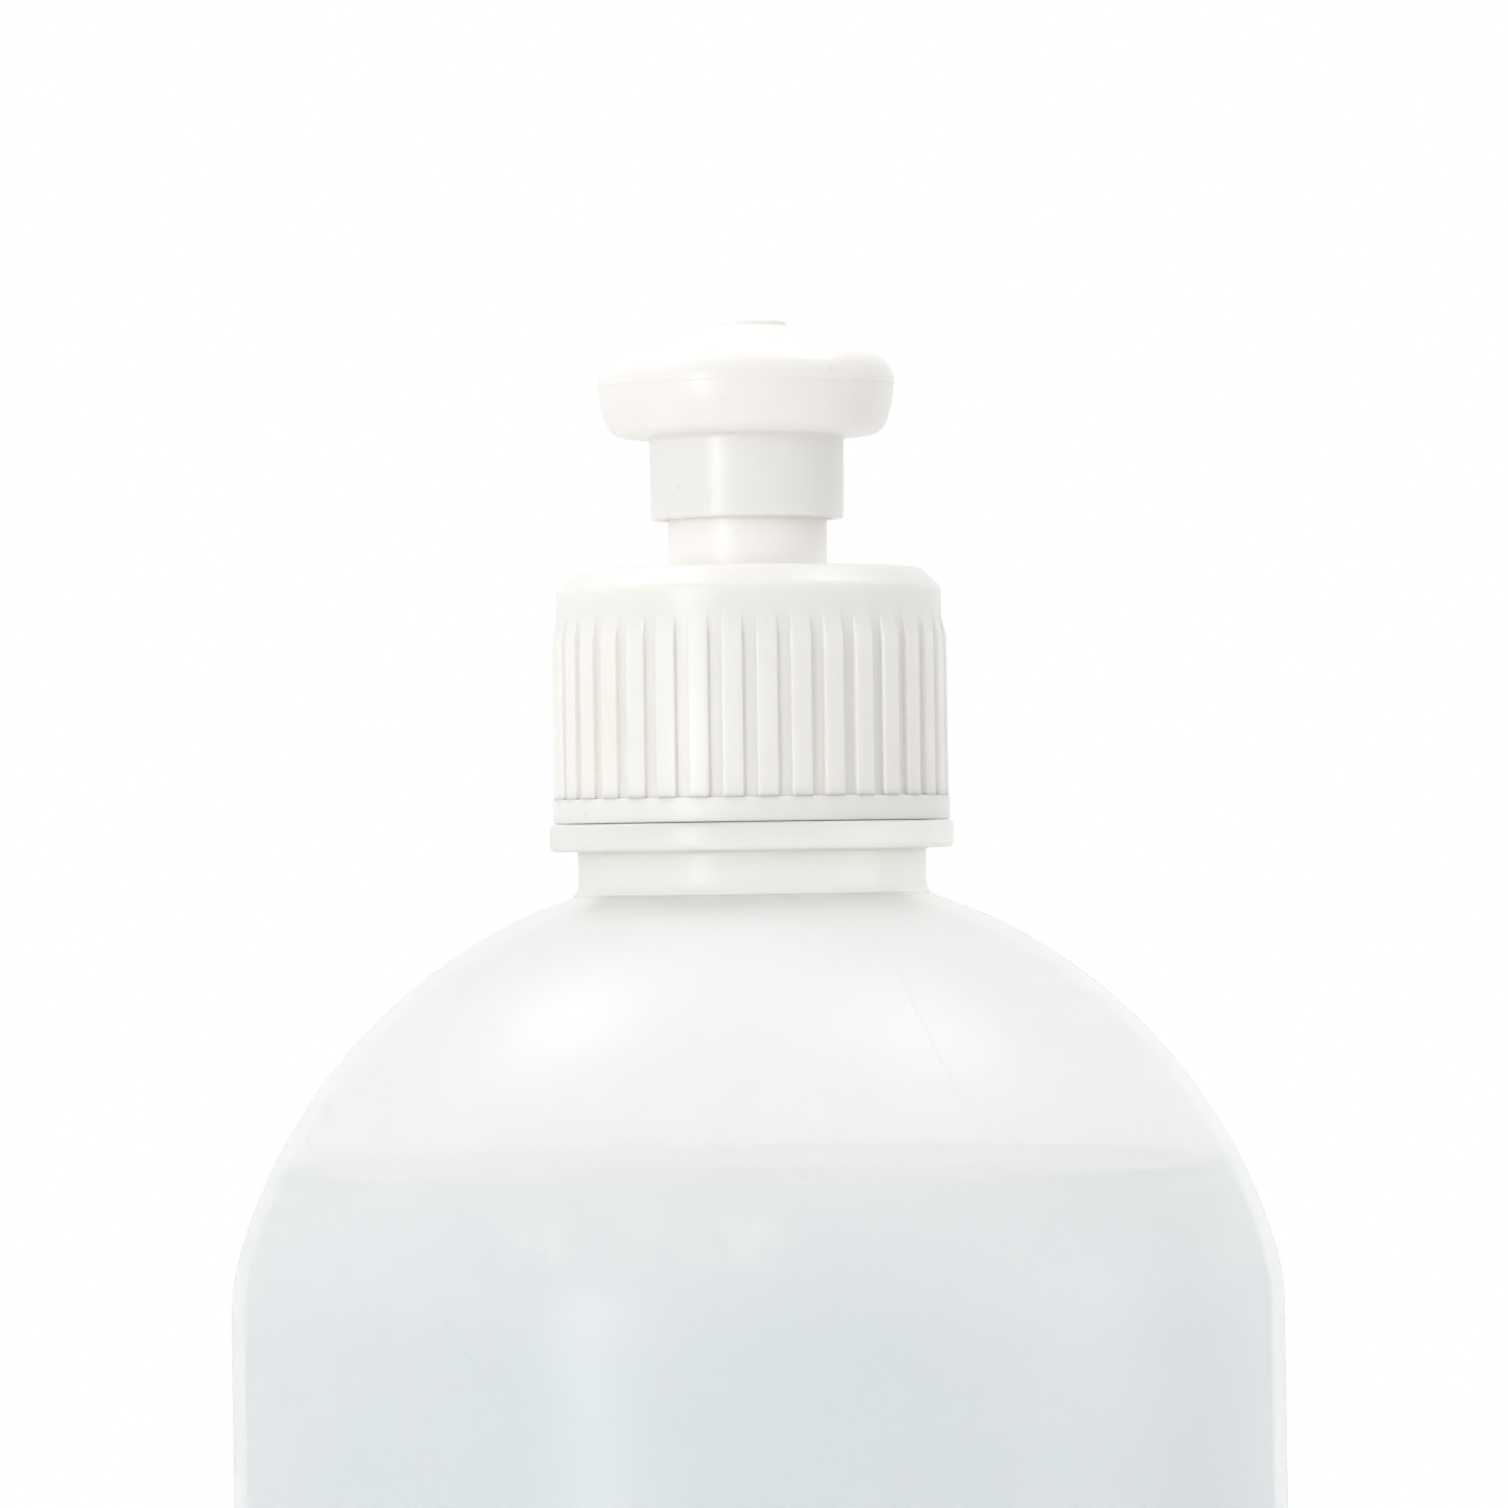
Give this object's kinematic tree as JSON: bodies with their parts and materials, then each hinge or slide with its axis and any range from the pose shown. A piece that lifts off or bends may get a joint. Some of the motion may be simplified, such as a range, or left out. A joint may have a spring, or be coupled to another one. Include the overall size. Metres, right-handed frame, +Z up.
{
  "type": "descaler bottle",
  "caption": "Translucent round squeeze bottle of descaling liquid with a ribbed screw cap and a push-pull spout.",
  "frame": {"origin": "centre of the base, on the surface the bottle stands on", "axes": "+Z up along the axis of the bottle, neck and closure; +X and +Y level, the front of the picture is -Y"},
  "size_m": [0.073, 0.073, 0.1874],
  "materials": {
    "natural_plastic": "milky translucent blow-moulded polyethylene, satin with fine scuffs",
    "liquid": "clear, faintly bluish grey liquid, seen through the milky wall",
    "foam": "dense white polyethylene foam",
    "cap_plastic": "off-white injection-moulded plastic, satin",
    "spout_plastic": "off-white injection-moulded plastic, satin, a little smoother than the cap"
  },
  "bodies": {
    "bottle": {"bottle": "natural_plastic", "liquid": "liquid"},
    "washer": {"sealing_washer": "foam"},
    "cap": {"cap": "cap_plastic"},
    "spout": {"spout": "spout_plastic"}
  },
  "joints": [
    {"name": "cap_lift", "type": "slide", "parent": "bottle", "child": "washer", "axis": [0, 0, 1], "range_m": [0, 0.00476]},
    {"name": "cap_turn", "type": "hinge", "parent": "washer", "child": "cap", "pos_m": [0, 0, 0.168], "axis": [0, 0, 1], "range_deg": [0, 540]},
    {"name": "spout_pull", "type": "slide", "parent": "cap", "child": "spout", "axis": [0, 0, 1], "range_m": [-0.0034, 0]}
  ],
  "couplings": [
    {"joint": "cap_turn", "follows": "cap_lift", "rad_per_m": 1979}
  ]
}
